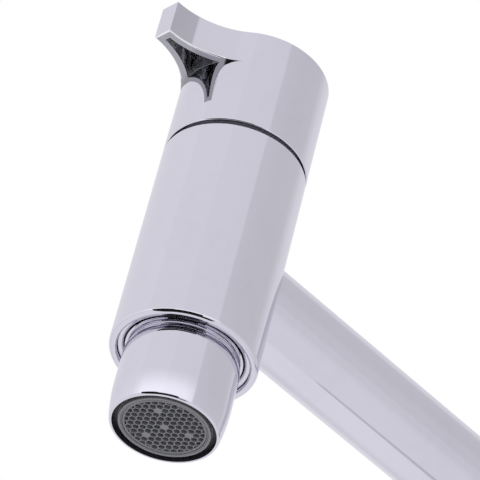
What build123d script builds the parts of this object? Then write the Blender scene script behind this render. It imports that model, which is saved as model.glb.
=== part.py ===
from build123d import *
import math
import os

# Kitchen tap with the mixer cartridge in its head. Millimetres, +Z up.
# The origin is on the riser's axis at the worktop's surface, and the spout points along -Y.

# Neck
reach = 220.0
arm_height = 300.0
neck_radius = 90.0
tube_wall = 1.5
tube_play = 0.75

# Fits
slip = 0.05
running = 0.05
seat = 0.02
visible_gap = 0.3

# Angles about an upright axis
front_angle = -90.0
back_angle = 90.0

# How far a cutting shape runs past the face that it cuts
past = 1.0

# Head barrel, which grows outwards from the cartridge
barrel_wall = 2.4
barrel_below_arm = 35.8
rim_outer_round = 1.4
rim_inner_round = 0.8
barrel_top_round = 0.3
union_wall = 1.35
union_in_tube = 14.0
union_wall_left = 0.6
union_play = 0.2

# Mixing body and its waterways
body_wall = 1.4
body_sink = 1.6
body_above_ball = 9.0
floor_wall = 3.0
stem_thread_radius = 8.0
stem_thread_length = 10.5

# Feed tubes and the inlet sockets at their lower ends
feed_diameter = 8.0
feed_wall = 1.0
feed_past_port = 0.25
feed_seal_back = 3.0
seal_cord = 0.8
inlet_thread_radius = 4.46
inlet_thread_length = 12.0
socket_wall = 1.54
socket_gap = 0.4
socket_length = 28.0
socket_drop = 52.0
tube_in_socket = 9.0
clip_height = 6.0
clip_riser_place = 150.0
clip_arm_place = 95.0

# Cartridge
cartridge_diameter = 34.8
cartridge_play = 0.1
cartridge_base_height = 3.0
housing_height = 22.0
housing_wall = 2.0
housing_roof = 3.0
housing_neck_radius = 9.0
housing_neck_rise = 1.2
port_radius = 2.6
port_edge = 4.5
port_seal_wall = 0.95
port_seal_height = 1.0
peg_radius = 1.4
peg_length = 1.8
peg_edge = 4.4
peg_angles = (200.0, 340.0)
disc_gap = 0.9
fixed_disc_height = 3.5
moving_disc_step = 0.7
moving_disc_height = 4.0
channel_depth = 2.0
channel_half_width = 2.7
channel_past_port = 2.0
carrier_height = 5.0
lug_depth = 2.0
lug_width = 4.0
lug_length = 3.0
lug_inset = 0.8
lug_play = 0.1
stop_tab_rise = 0.9
stop_tab_root = 1.0
stop_tab_half_angle = 8.0
stop_rib_half_angle = 6.0
stop_play_angle = 0.5
stop_rib_root = 0.5
stop_rib_gap = 0.15
spindle_foot = 9.0
spindle_foot_depth = 3.5
spindle_shoulder_radius = 8.0
spindle_radius = 5.0
spindle_square = 7.0
spindle_square_length = 13.0
spindle_seal_depth = 2.6
nut_step = 1.1
nut_height = 4.5
nut_slot_width = 3.0
nut_slot_depth = 1.5
nut_slot_length = 3.5
nut_slot_count = 4

# Lever cap
cap_gap = 1.6
cap_height = 36.4
cap_wall = 2.9
cap_roof = 3.5
cap_edge_round = 0.35
boss_radius = 8.5
boss_clearance = 1.0
fin_length = 17.5
fin_end_half_width = 3.3
fin_flare_angle = 38.0
fin_height = 12.4
fin_rim = 2.4
fin_roof = 2.2
grub_radius = 2.0
grub_height = 8.0
grub_sink = 0.3
grub_key_radius = 1.1
key_depth = 2.5
plug_radius = 3.0
plug_sink = 0.2
lever_turn = 105.0
glide_wall = 1.7
glide_clearance = 0.25

# Outlet collar and ball joint
collar_recess = 1.5
collar_face_height = 3.5
collar_wall = 1.7
collar_round = 0.5
ball_above_rim = 4.0
ball_neck_radius = 6.2
ball_bore_radius = 4.2
ball_cut = 7.0
stem_short = 0.5
slip_ring_wall = 0.75
slip_ring_top = 3.4
slip_ring_bottom = 2.6
ring_top = 4.0
ring_skirt_wall = 2.4
ring_skirt_drop = 3.0
ring_seat_drop = 0.5
spigot_wall = 1.2
ball_seal_cord = 1.1
ball_seal_drop = 6.0
nozzle_tilt = 10.0

# Nozzle
nozzle_set_in = 0.4
nozzle_wall = 2.5
neck_gap = 0.85
neck_wall = 3.2
neck_drop = 1.2
neck_plate = 2.0
neck_groove_width = 0.5
neck_groove_depth = 0.45
neck_groove_count = 2
shoulder_clearance = 0.53
shoulder_round = 0.35
side_length = 8.0
lip_round = 2.85
lip_set_in = 0.9
lip_recess = 1.4
bulge_angle = -30.0
core_drop = 16.8
core_skirt_wall = 0.95
skirt_recess = 1.1
throat_radius = 6.0
chamber_height = 4.0

# Aerator
aerator_wall = 1.5
aerator_height = 10.9
aerator_edge_round = 0.5
gasket_height = 1.2
gasket_width = 3.0
grid_pitch = 2.2
grid_web = 0.42
grid_rim = 0.6
grid_height = 3.0
grid_sink = 0.3
grid_angle = 30.0
grid_groove_width = 0.15
grid_groove_depth = 0.3
shut_cell_count = 3
shut_cell_step_count = 2
jet_plate_height = 1.5
jet_plate_place = 7.0
jet_hole_radius = 0.5
jet_rows_in = (3.25, 1.45)
jet_row_counts = (16, 22)
regulator_set_in = 4.65
regulator_height = 1.0
regulator_hole_radius = 1.6
filter_height = 0.8
filter_place = 9.6
filter_hole_radius = 0.7
filter_rows_in = (9.65, 6.65, 3.65, 1.25)
filter_row_counts = (6, 14, 22, 28)

# Base, which grows outwards from the tube
base_height = 70.0
base_wall = 4.0
base_rim_wall = 2.4
base_floor = 8.0
rosette_overhang = 4.5
rosette_height = 5.0
rosette_round = 2.0
gasket_edge = 4.0
gasket_groove_width = 3.5
gasket_groove_depth = 2.0
base_collar_height = 8.0
base_collar_recess = 1.5
base_collar_thread = 4.0
hub_wall = 1.9
hub_flange_height = 4.0
hub_ledge = 2.0
washer_height = 1.5
bush_wall = 2.5
bush_height = 8.0
snap_ring_height = 1.2
snap_ring_depth = 0.75
snap_ring_inside = 1.2
snap_ring_opening = 60.0
dust_seal_cord = 1.0
dust_seal_drop = 3.0
swivel_limit = 60.0
stop_screw_radius = 2.5
stop_tip_radius = 1.9
stop_tip_length = 0.8
stop_height = 31.0
stop_clearance = 0.4
stop_screw_sink = 0.6
stop_key_radius = 1.5

# Below the worktop
shank_play = 1.0
shank_wall = 2.8
shank_drop = 60.0
shank_engagement = 7.0
thread_pitch = 1.5
thread_depth = 0.9
thread_crest = 0.45
worktop_thickness = 30.0
under_seal_height = 3.0
under_seal_width = 7.7
clamp_washer_height = 2.5
clamp_washer_width = 8.2
back_nut_height = 8.0
back_nut_wall = 4.5
back_nut_corner = 2.2

# Worked out: radii of the feeds, the cartridge, the head and the neck's tube, which goes round the feeds
feed_radius = feed_diameter / 2
feed_bore = feed_radius + slip
socket_radius = inlet_thread_radius + socket_wall
half_spacing = socket_radius + socket_gap / 2
cartridge_radius = cartridge_diameter / 2
housing_bore = cartridge_radius - housing_wall
fixed_disc_radius = housing_bore - disc_gap
moving_disc_radius = fixed_disc_radius - moving_disc_step
carrier_radius = housing_bore - visible_gap - stop_tab_rise
port_circle = fixed_disc_radius - port_edge
port_y = math.sqrt(port_circle ** 2 - half_spacing ** 2)
peg_circle = cartridge_radius - peg_edge
shut_angle = math.degrees(math.atan2(port_y, -half_spacing)) - lever_turn
chamber_radius = cartridge_radius + cartridge_play
nut_radius = chamber_radius + nut_step
body_radius = nut_radius + slip + body_wall
barrel_bore = body_radius + slip
barrel_radius = barrel_bore + barrel_wall
union_bore = half_spacing + feed_radius + union_play
union_radius = union_bore + union_wall
union_end = chamber_radius + union_wall_left
tube_bore = union_radius + tube_play
tube_radius = tube_bore + tube_wall
feed_bore_end = port_y - port_radius - feed_past_port
feed_tube_end = port_y + port_radius + feed_past_port
feed_seal_place = feed_tube_end + feed_seal_back

# Worked out: heights in the head, from the arm upwards
floor_z = arm_height + feed_bore + floor_wall
disc_base_z = floor_z + cartridge_base_height
housing_top_z = disc_base_z + housing_height
nut_top_z = housing_top_z + nut_height
neck_top_z = nut_top_z + housing_neck_rise
barrel_top_z = nut_top_z + body_sink
cap_bottom_z = barrel_top_z + cap_gap
cap_top_z = cap_bottom_z + cap_height
fin_bottom_z = cap_top_z - fin_height
fixed_top_z = disc_base_z + fixed_disc_height
moving_bottom_z = fixed_top_z + seat
moving_top_z = moving_bottom_z + moving_disc_height
carrier_bottom_z = moving_top_z + seat
carrier_top_z = carrier_bottom_z + carrier_height
boss_bottom_z = neck_top_z + boss_clearance
square_bottom_z = boss_bottom_z + boss_clearance
square_top_z = square_bottom_z + spindle_square_length
grub_z = square_bottom_z + grub_height
spindle_seal_z = nut_top_z - spindle_seal_depth

# Worked out: the outlet, from the barrel's lower rim inwards and downwards
barrel_bottom_z = arm_height - barrel_below_arm
ball_z = barrel_bottom_z + ball_above_rim
body_bottom_z = ball_z + body_above_ball
collar_radius = barrel_bore - visible_gap
collar_bore = collar_radius - collar_wall
collar_bottom_z = barrel_bottom_z + collar_recess
nozzle_radius = collar_bore - nozzle_set_in
nozzle_neck_radius = collar_bore - neck_gap
ring_radius = nozzle_neck_radius - neck_wall - slip
spigot_radius = ring_radius - ring_skirt_wall - slip
socket_sphere = spigot_radius - spigot_wall
ball_radius = socket_sphere - slip_ring_wall - 2 * running
seal_middle = math.sqrt((ball_radius + running + ball_seal_cord) ** 2 - ball_seal_drop ** 2)
tilt = math.radians(nozzle_tilt)
lowest_shoulder = ball_above_rim - collar_recess + shoulder_clearance
nozzle_shoulder = (lowest_shoulder + nozzle_radius * math.sin(tilt)) / math.cos(tilt)
mouth_radius = nozzle_radius - nozzle_wall
lip_radius = nozzle_radius - lip_set_in
core_radius = mouth_radius - slip
aerator_radius = core_radius - core_skirt_wall - slip
aerator_bore = aerator_radius - aerator_wall
grid_bore = aerator_bore - grid_rim
ledge_z = ball_z - core_drop
aerator_top_z = ledge_z - gasket_height
aerator_face_z = aerator_top_z - aerator_height
lip_z = aerator_face_z - lip_recess

# Worked out: the base and what is below it
hub_radius = tube_radius + hub_wall
bush_inner = hub_radius + running
bush_outer = bush_inner + bush_wall
base_bore = bush_outer + slip
base_radius = base_bore + base_wall
rim_bore = base_radius - base_rim_wall
rosette_radius = base_radius + rosette_overhang
gasket_groove_radius = rosette_radius - gasket_edge
base_top_z = rosette_height + base_height
base_floor_z = rosette_height + base_floor
base_collar_top_z = base_top_z - base_collar_recess
base_collar_bottom_z = base_collar_top_z - base_collar_height
dust_seal_z = base_collar_top_z - dust_seal_drop
hub_bottom_z = base_floor_z + washer_height
riser_bottom_z = hub_bottom_z + hub_ledge
hub_top_z = base_collar_bottom_z - visible_gap
lower_bush_z = hub_bottom_z + hub_flange_height + running
snap_ring_z = lower_bush_z + bush_height + 2 * slip
stop_z = rosette_height + stop_height
shank_bore = half_spacing + socket_radius + shank_play
shank_radius = shank_bore + shank_wall
back_nut_flats = shank_radius + back_nut_wall
under_seal_z = -worktop_thickness - under_seal_height
clamp_washer_z = under_seal_z - clamp_washer_height
back_nut_z = clamp_washer_z - back_nut_height
socket_top_z = socket_length - socket_drop

on_base = (Align.CENTER, Align.CENTER, Align.MIN)
head = Pos(0, -reach, 0)


def disc(radius, low, high):
    return Pos(0, 0, low) * Cylinder(radius, high - low, align=on_base)


def ring(outer, inner, low, high):
    return disc(outer, low, high) - disc(inner, low - past, high + past)


def block(width, depth, low, high, x=0.0, y=0.0):
    return Pos(x, y, low) * Box(width, depth, high - low, align=on_base)


def sector(outer, inner, low, high, middle, half_angle):
    unmoved = (Align.NONE, Align.NONE, Align.MIN)
    wedge = Cylinder(outer, high - low, arc_size=2 * half_angle, align=unmoved)
    wedge = Pos(0, 0, low) * Rot(0, 0, middle - half_angle) * wedge
    return wedge - disc(inner, low - past, high + past)


def along_y(radius, start, stop, x=0.0, z=0.0):
    """A cylinder on a line parallel to Y, from y = start to y = stop."""
    rod = Cylinder(radius, stop - start, align=on_base)
    return Pos(x, start, z) * Rot(-90, 0, 0) * rod


def turned(*lines):
    """Turn a closed outline, drawn as (radius, height), about Z."""
    outline = Plane.XZ * make_face(Curve() + list(lines))
    return revolve(outline, Axis.Z)


def o_ring(cord, middle, z):
    """A rubber ring with a round section of the given radius."""
    section = Plane.XZ * (Pos(middle, z) * Circle(cord))
    return revolve(section, Axis.Z)


def key_socket(radius, y, z):
    """The hexagon for a key, cut into a screw's end that faces +Y."""
    key = extrude(RegularPolygon(radius, 6), key_depth + past)
    return Pos(0, y + past, z) * Rot(90, 0, 0) * key


def rim_edges(part, radius, z):
    circles = part.edges().filter_by(GeomType.CIRCLE)
    close = 0.001
    return [e for e in circles if abs(e.radius - radius) < close and abs(e.arc_center.Z - z) < close]


def soften(part, radius, z, size):
    return fillet(rim_edges(part, radius, z), size)


def on_both_sides(part):
    return [Pos(-half_spacing, 0, 0) * part, Pos(half_spacing, 0, 0) * part]


# Head: barrel, mixing body and the union with the arm

def barrel_shell():
    shell = ring(barrel_radius, barrel_bore, barrel_bottom_z, barrel_top_z)
    shell = soften(shell, barrel_radius, barrel_bottom_z, rim_outer_round)
    shell = soften(shell, barrel_bore, barrel_bottom_z, rim_inner_round)
    shell = soften(shell, barrel_radius, barrel_top_z, barrel_top_round)
    hole = along_y(union_radius + slip, 0, barrel_radius + past, z=arm_height)
    return head * (shell - hole)


def arm_union():
    step = barrel_radius + slip
    spigot = along_y(union_radius, union_end, step, z=arm_height)
    sleeve = along_y(tube_bore - slip, step, step + union_in_tube, z=arm_height)
    bore = along_y(union_bore, 0, step + union_in_tube + past, z=arm_height)
    return head * (spigot + sleeve - bore)


def mixing_body():
    body = disc(body_radius, body_bottom_z, nut_top_z)
    body -= disc(chamber_radius, floor_z, nut_top_z + past)
    body -= disc(nut_radius + slip, housing_top_z - past, nut_top_z + past)
    body -= disc(port_radius, body_bottom_z - past, floor_z + past)
    body -= disc(stem_thread_radius, body_bottom_z - past, body_bottom_z + stem_thread_length)
    body -= along_y(union_radius + slip, union_end, barrel_radius + past, z=arm_height)
    half_groove = seal_cord + slip
    for x in (-half_spacing, half_spacing):
        body -= along_y(feed_bore, feed_bore_end, barrel_radius, x, arm_height)
        body -= along_y(feed_bore + 2 * seal_cord + slip, feed_seal_place - half_groove,
                        feed_seal_place + half_groove, x, arm_height)
        body -= Pos(x, port_y, 0) * disc(port_radius, arm_height, floor_z + past)
    for place in peg_places():
        body -= place * disc(peg_radius + slip, floor_z - peg_length - slip, floor_z + past)
    return head * body


def feed_tube_seals():
    seal = o_ring(seal_cord, feed_bore + seal_cord, 0)
    seal = Pos(0, feed_seal_place, arm_height) * Rot(-90, 0, 0) * seal
    return [head * s for s in on_both_sides(seal)]


# Cartridge

def port_places():
    """The cold and hot ports, and the mixed water's port in the middle."""
    return [(half_spacing, port_y), (-half_spacing, port_y), (0.0, 0.0)]


def peg_places():
    return [Rot(0, 0, angle) * Pos(peg_circle, 0, 0) for angle in peg_angles]


def cartridge_base():
    base = disc(cartridge_radius, floor_z, disc_base_z)
    seal_pocket = port_radius + port_seal_wall + slip
    for x, y in port_places():
        base -= Pos(x, y, 0) * disc(port_radius, floor_z - past, disc_base_z + past)
        base -= Pos(x, y, 0) * disc(seal_pocket, floor_z - past, floor_z + port_seal_height + slip)
    for place in peg_places():
        base += place * disc(peg_radius, floor_z - peg_length, floor_z + port_seal_height)
    return head * base


def port_seals():
    seal = ring(port_radius + port_seal_wall, port_radius, floor_z, floor_z + port_seal_height)
    return [head * Pos(x, y, 0) * seal for x, y in port_places()]


def fixed_disc():
    plate = disc(fixed_disc_radius, disc_base_z, fixed_top_z)
    for x, y in port_places():
        plate -= Pos(x, y, 0) * disc(port_radius, disc_base_z - past, fixed_top_z + past)
    return head * plate


def lugs(play):
    """The carrier's two lugs, or with no play the slots for them in the moving disc."""
    low = moving_top_z - lug_depth + play
    y = moving_disc_radius - lug_inset
    lug = block(lug_width - 2 * play, lug_length - 2 * play, low, carrier_bottom_z + past)
    return [Pos(0, -y, 0) * lug, Pos(0, y, 0) * lug]


def moving_disc():
    plate = disc(moving_disc_radius, moving_bottom_z, moving_top_z)
    low = moving_bottom_z - past
    high = moving_bottom_z + channel_depth
    length = port_circle + channel_past_port
    channel = disc(port_radius, low, high)
    channel += Rot(0, 0, shut_angle) * block(length, 2 * channel_half_width, low, high, x=length / 2)
    plate -= channel
    for slot in lugs(0.0):
        plate -= slot
    return head * plate


def disc_carrier():
    carrier = disc(carrier_radius, carrier_bottom_z, carrier_top_z)
    carrier += sector(carrier_radius + stop_tab_rise, carrier_radius - stop_tab_root,
                      carrier_bottom_z, carrier_top_z, front_angle, stop_tab_half_angle)
    for lug in lugs(lug_play):
        carrier += lug & disc(carrier_radius, moving_bottom_z, carrier_top_z)
    pocket = spindle_foot + 2 * slip
    carrier -= block(pocket, pocket, carrier_top_z - spindle_foot_depth - slip, carrier_top_z + past)
    return head * carrier


def cartridge_housing():
    housing = disc(cartridge_radius, disc_base_z, housing_top_z)
    housing += disc(housing_neck_radius, housing_top_z - housing_roof, neck_top_z)
    housing -= disc(housing_bore, disc_base_z - past, housing_top_z - housing_roof)
    housing -= disc(spindle_radius + running, disc_base_z, neck_top_z + past)
    step = stop_tab_half_angle + stop_rib_half_angle + stop_play_angle
    for middle in (front_angle - step, front_angle + lever_turn + step):
        housing += sector(housing_bore + stop_rib_root, carrier_radius + stop_rib_gap,
                          carrier_bottom_z, carrier_top_z, middle, stop_rib_half_angle)
    return head * housing


def cartridge_spindle():
    shoulder_top = housing_top_z - housing_roof - running
    foot_bottom = carrier_top_z - spindle_foot_depth
    spindle = block(spindle_foot, spindle_foot, foot_bottom, carrier_top_z + seat)
    spindle += disc(spindle_shoulder_radius, carrier_top_z + seat, shoulder_top)
    spindle += disc(spindle_radius, carrier_top_z, square_bottom_z)
    spindle += block(spindle_square, spindle_square, square_bottom_z, square_top_z)
    half_groove = seal_cord + slip
    spindle -= ring(spindle_radius + past, spindle_radius - 2 * seal_cord,
                    spindle_seal_z - half_groove, spindle_seal_z + half_groove)
    return head * spindle


def spindle_seal():
    return head * o_ring(seal_cord, spindle_radius - seal_cord, spindle_seal_z)


def cartridge_nut():
    nut = ring(nut_radius, housing_neck_radius + visible_gap, housing_top_z, nut_top_z)
    middle = nut_radius + (past - nut_slot_length) / 2
    slot = block(nut_slot_length + past, nut_slot_width, nut_top_z - nut_slot_depth,
                 nut_top_z + past, x=middle)
    for k in range(nut_slot_count):
        nut -= Rot(0, 0, 360 * k / nut_slot_count) * slot
    return head * nut


def glide_ring():
    return head * ring(body_radius, body_radius - glide_wall, nut_top_z, cap_bottom_z - glide_clearance)


# Lever cap: a cylinder whose side sweeps out into a fin at the front

def fin_outline(rim):
    """The fin's plan, from the cylinder's side to its flat end, drawn in by the rim."""
    flare = math.radians(fin_flare_angle)
    start = (barrel_radius * math.sin(flare), -barrel_radius * math.cos(flare))
    tip = (fin_end_half_width, -barrel_radius - fin_length)
    leave = (-math.cos(flare), -math.sin(flare))
    right = TangentArc(start, tip, tangent=leave)
    left = mirror(right, Plane.YZ)
    end = Line(tip, (-tip[0], tip[1]))
    back = Line(start, (-start[0], start[1]))
    plan = make_face(Curve() + [right, end, left, back])
    return offset(plan, -rim, kind=Kind.INTERSECTION) if rim else plan


def lever_cap():
    cap = disc(barrel_radius, cap_bottom_z, cap_top_z)
    cap += Pos(0, 0, fin_bottom_z) * extrude(fin_outline(0), fin_height)
    cap = fillet(cap.faces().sort_by(Axis.Z)[-1].edges(), cap_edge_round)
    cap = soften(cap, barrel_radius, cap_bottom_z, cap_edge_round)
    pocket = fin_outline(fin_rim) - Circle(barrel_radius)
    pocket = max(pocket.faces(), key=lambda face: face.area)
    cap -= Pos(0, 0, fin_bottom_z - past) * extrude(pocket, fin_height - fin_roof + past)
    ceiling_z = cap_top_z - cap_roof
    cap -= disc(barrel_radius - cap_wall, cap_bottom_z - past, ceiling_z)
    cap += disc(boss_radius, boss_bottom_z, ceiling_z + cap_roof / 2)
    socket = spindle_square + 2 * slip
    cap -= block(socket, socket, boss_bottom_z - past, square_top_z + boss_clearance)
    cap -= disc(spindle_radius + slip, boss_bottom_z - past, square_bottom_z)
    cap -= along_y(grub_radius, 0, boss_radius + past, z=grub_z)
    cap -= along_y(plug_radius, barrel_radius - cap_wall - past, barrel_radius + past, z=grub_z)
    return head * cap


def cap_grub_screw():
    start = spindle_square / 2 + seat
    stop = boss_radius - grub_sink
    screw = along_y(grub_radius - slip, start, stop, z=grub_z)
    return head * (screw - key_socket(grub_key_radius, stop, grub_z))


def grub_screw_plug():
    plug = along_y(plug_radius - slip, barrel_radius - cap_wall, barrel_radius + past, z=grub_z)
    return head * (plug & disc(barrel_radius - plug_sink, cap_bottom_z, cap_top_z))


# Outlet: collar, ball joint, nozzle and aerator, all on the head's axis

def outlet_collar():
    step_z = collar_bottom_z + collar_face_height
    collar = ring(collar_radius, collar_bore, collar_bottom_z, step_z)
    collar = soften(collar, collar_radius, collar_bottom_z, collar_round)
    collar = soften(collar, collar_bore, collar_bottom_z, collar_round)
    collar += ring(body_radius, collar_bore, step_z, body_bottom_z - seat)
    return head * collar


def swivel_ball():
    stem_top_z = body_bottom_z + stem_thread_length - stem_short
    ball = Pos(0, 0, ball_z) * Sphere(ball_radius)
    ball -= disc(ball_radius, ball_z - ball_radius - past, ball_z - ball_cut)
    ball += disc(ball_neck_radius, ball_z, stem_top_z)
    ball += disc(stem_thread_radius - slip, body_bottom_z, stem_top_z)
    ball -= disc(ball_bore_radius, ball_z - ball_radius - past, stem_top_z + past)
    return head * ball


def slip_ring():
    inner = ball_radius + running
    shell = Sphere(inner + slip_ring_wall) - Sphere(inner)
    shell &= disc(2 * ball_radius, -slip_ring_bottom, slip_ring_top)
    return head * Pos(0, 0, ball_z) * shell


def ball_retaining_ring():
    high = ball_z + ring_top
    low = ball_z - ring_seat_drop
    nut = disc(ring_radius, low, high)
    nut += ring(ring_radius, ring_radius - ring_skirt_wall, low - ring_skirt_drop, low + seat)
    nut -= Pos(0, 0, ball_z) * Sphere(socket_sphere)
    return head * nut


def nozzle_core():
    spigot_top = ball_z - ring_seat_drop - seat
    seat_z = spigot_top - ring_skirt_drop
    seal_z = ball_z - ball_seal_drop
    core = disc(spigot_radius, seat_z - past, spigot_top)
    core += disc(core_radius, aerator_face_z + skirt_recess, seat_z)
    core -= Pos(0, 0, ball_z) * Sphere(socket_sphere)
    core -= o_ring(ball_seal_cord + slip, seal_middle, seal_z)
    core -= disc(throat_radius, ledge_z, seal_z)
    core -= disc(aerator_radius - gasket_width, ledge_z - past, ledge_z + chamber_height)
    core -= disc(aerator_radius + slip, aerator_face_z, ledge_z)
    return head * core


def ball_seal():
    return head * o_ring(ball_seal_cord, seal_middle, ball_z - ball_seal_drop)


def nozzle_sleeve():
    top = ball_z - neck_drop
    shoulder = ball_z - nozzle_shoulder
    arc_x = lip_radius - lip_round
    arc_z = lip_z + math.sqrt(lip_round ** 2 - (mouth_radius - arc_x) ** 2)
    bulge = math.radians(bulge_angle)
    lowest = (arc_x + lip_round * math.cos(bulge), arc_z + lip_round * math.sin(bulge))
    side_end = (nozzle_radius, shoulder - side_length)
    neck_bore = ring_radius + slip
    sleeve = turned(
        Polyline((neck_bore, top), (nozzle_neck_radius, top), (nozzle_neck_radius, shoulder),
                 (nozzle_radius, shoulder), side_end),
        TangentArc(side_end, (lip_radius, arc_z), tangent=(0, -1)),
        ThreePointArc((lip_radius, arc_z), lowest, (mouth_radius, lip_z)),
        Polyline((mouth_radius, lip_z), (mouth_radius, top - neck_plate),
                 (neck_bore, top - neck_plate), (neck_bore, top)),
    )
    sleeve = soften(sleeve, nozzle_radius, shoulder, shoulder_round)
    step = (nozzle_shoulder - neck_drop) / (neck_groove_count + 1)
    for k in range(neck_groove_count):
        z = top - (k + 1) * step
        sleeve -= ring(nozzle_radius, nozzle_neck_radius - neck_groove_depth,
                       z - neck_groove_width / 2, z + neck_groove_width / 2)
    return head * sleeve


def aerator_housing():
    housing = ring(aerator_radius, aerator_bore, aerator_face_z, aerator_top_z)
    return head * soften(housing, aerator_radius, aerator_face_z, aerator_edge_round)


def shut_cells():
    """The middle cell and the three round it that are moulded shut, as (column, row)."""
    cells = [(0, 0)]
    column = row = shut_cell_step_count
    for k in range(shut_cell_count):
        cells.append((column, row))
        column, row = -column - row, column
    return cells


def grid_cells():
    """The honeycomb's open cells, kept where their middle is inside the grid's rim."""
    cells = []
    rows = int(2 * grid_bore / grid_pitch)
    for row in range(-rows, rows + 1):
        for column in range(-rows, rows + 1):
            x = grid_pitch * (column + row / 2)
            y = grid_pitch * row * math.sqrt(3) / 2
            if math.hypot(x, y) < grid_bore and (column, row) not in shut_cells():
                cells.append((x, y))
    return cells


def aerator_grid():
    """One plate of hexagons, cut to the rim's circle, in a plain rim."""
    cell = (grid_pitch - grid_web) / math.sqrt(3)
    holes = []
    for x, y in grid_cells():
        corners = []
        for k in range(6):
            turn = math.radians(30 + 60 * k)
            corners.append((x + cell * math.cos(turn), y + cell * math.sin(turn), 0))
        holes.append(Wire.make_polygon(corners, close=True))
    web = extrude(Face(Wire.make_circle(grid_bore + grid_pitch), holes), grid_height, dir=(0, 0, 1))
    grid = ring(aerator_bore, grid_bore, 0, grid_height) + (web & disc(grid_bore + seat, 0, grid_height))
    grid -= ring(aerator_bore + past, aerator_bore - grid_groove_width, -past, grid_groove_depth)
    return head * Pos(0, 0, aerator_face_z + grid_sink) * Rot(0, 0, grid_angle) * grid


def drilled_disc(low, high, hole_radius, rows_in, counts):
    """A disc that fills the aerator, with rings of holes at distances in from its edge."""
    plate = disc(aerator_bore, low, high)
    for row_in, count in zip(rows_in, counts):
        hole = Pos(aerator_bore - row_in, 0, 0) * disc(hole_radius, low - past, high + past)
        for k in range(count):
            plate -= Rot(0, 0, 360 * k / count) * hole
    return plate


def aerator_jet_plate():
    low = aerator_face_z + jet_plate_place
    return head * drilled_disc(low, low + jet_plate_height, jet_hole_radius, jet_rows_in, jet_row_counts)


def flow_regulator():
    low = aerator_face_z + jet_plate_place + jet_plate_height
    return head * ring(aerator_bore - regulator_set_in, regulator_hole_radius, low,
                       low + regulator_height)


def aerator_filter():
    low = aerator_face_z + filter_place
    return head * drilled_disc(low, low + filter_height, filter_hole_radius, filter_rows_in,
                               filter_row_counts)


def aerator_gasket():
    return head * ring(aerator_radius, aerator_radius - gasket_width, aerator_top_z, ledge_z)


# Neck and feed tubes

def neck_path(x, low, end_y):
    corners = [(x, 0, low), (x, 0, arm_height), (x, end_y, arm_height)]
    return FilletPolyline(*corners, radius=neck_radius)


def bent_rod(radius, path):
    section = Plane(origin=path @ 0, z_dir=path % 0) * Circle(radius)
    return sweep(section, path=path)


def spout_tube():
    path = neck_path(0, riser_bottom_z, -reach)
    tube = bent_rod(tube_radius, path) - bent_rod(tube_bore, path)
    return tube - head * disc(barrel_radius + seat, arm_height - 2 * tube_radius, arm_height + 2 * tube_radius)


def feed_tube(x):
    path = neck_path(x, socket_top_z - tube_in_socket, feed_tube_end - reach)
    return bent_rod(feed_radius, path) - bent_rod(feed_radius - feed_wall, path)


def inlet_socket(x):
    socket = disc(socket_radius, -socket_drop, socket_top_z)
    socket -= disc(inlet_thread_radius, -socket_drop - past, inlet_thread_length - socket_drop)
    socket -= disc(feed_radius - feed_wall, -socket_drop, socket_top_z)
    socket -= disc(feed_bore, socket_top_z - tube_in_socket, socket_top_z + past)
    return Pos(x, 0, 0) * socket


def clip_blank():
    """A plastic clip that holds the two feed tubes apart, open on one side to pass the seals."""
    clip = disc(tube_bore - slip, 0, clip_height)
    for x in (-half_spacing, half_spacing):
        clip -= Pos(x, 0, 0) * disc(feed_bore, -past, clip_height + past)
    return clip - block(feed_radius, 2 * tube_radius, -past, clip_height + past, y=tube_bore)


def riser_tube_clip():
    return Pos(0, 0, clip_riser_place) * clip_blank()


def arm_tube_clip():
    return Pos(0, clip_arm_place - reach, arm_height) * Rot(90, 0, 0) * clip_blank()


# Base: the swivel, and what clamps the tap to the worktop

def swivel_hub():
    hub = disc(hub_radius, hub_bottom_z, hub_top_z)
    hub += disc(bush_outer, hub_bottom_z, hub_bottom_z + hub_flange_height)
    hub -= disc(tube_radius + slip, riser_bottom_z, hub_top_z + past)
    hub -= disc(tube_bore, hub_bottom_z - past, riser_bottom_z + past)
    half_height = stop_tip_radius + stop_clearance
    tip_angle = math.degrees(math.asin(half_height / hub_radius))
    hub -= sector(hub_radius + past, hub_radius - stop_tip_length - stop_clearance,
                  stop_z - half_height, stop_z + half_height, back_angle, swivel_limit + tip_angle)
    return hub


def base_rosette():
    rosette = ring(rosette_radius, shank_radius + visible_gap, 0, rosette_height)
    rosette = soften(rosette, rosette_radius, rosette_height, rosette_round)
    return rosette - ring(gasket_groove_radius, gasket_groove_radius - gasket_groove_width, -past,
                          gasket_groove_depth)


def base_gasket():
    outer = gasket_groove_radius - slip
    inner = gasket_groove_radius - gasket_groove_width + slip
    return ring(outer, inner, 0, gasket_groove_depth - slip)


def base_body():
    body = disc(base_radius, rosette_height, base_top_z)
    body = soften(body, base_radius, base_top_z, rim_outer_round)
    body -= disc(rim_bore, base_collar_bottom_z, base_top_z + past)
    body = soften(body, rim_bore, base_top_z, rim_inner_round)
    body -= disc(base_bore, base_floor_z, base_top_z)
    body -= disc(shank_bore, rosette_height - past, base_floor_z + past)
    body -= disc(shank_radius + slip, rosette_height - past, rosette_height + shank_engagement + slip)
    body -= ring(base_bore + snap_ring_depth + slip, hub_radius, snap_ring_z - slip,
                 snap_ring_z + snap_ring_height + slip)
    body -= along_y(stop_screw_radius, 0, base_radius + past, z=stop_z)
    return body


def bush_snap_ring():
    outer = base_bore + snap_ring_depth
    high = snap_ring_z + snap_ring_height
    clip = ring(outer, bush_outer - snap_ring_inside, snap_ring_z, high)
    return clip - sector(outer + past, hub_radius, snap_ring_z - past, high + past, front_angle,
                         snap_ring_opening / 2)


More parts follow.
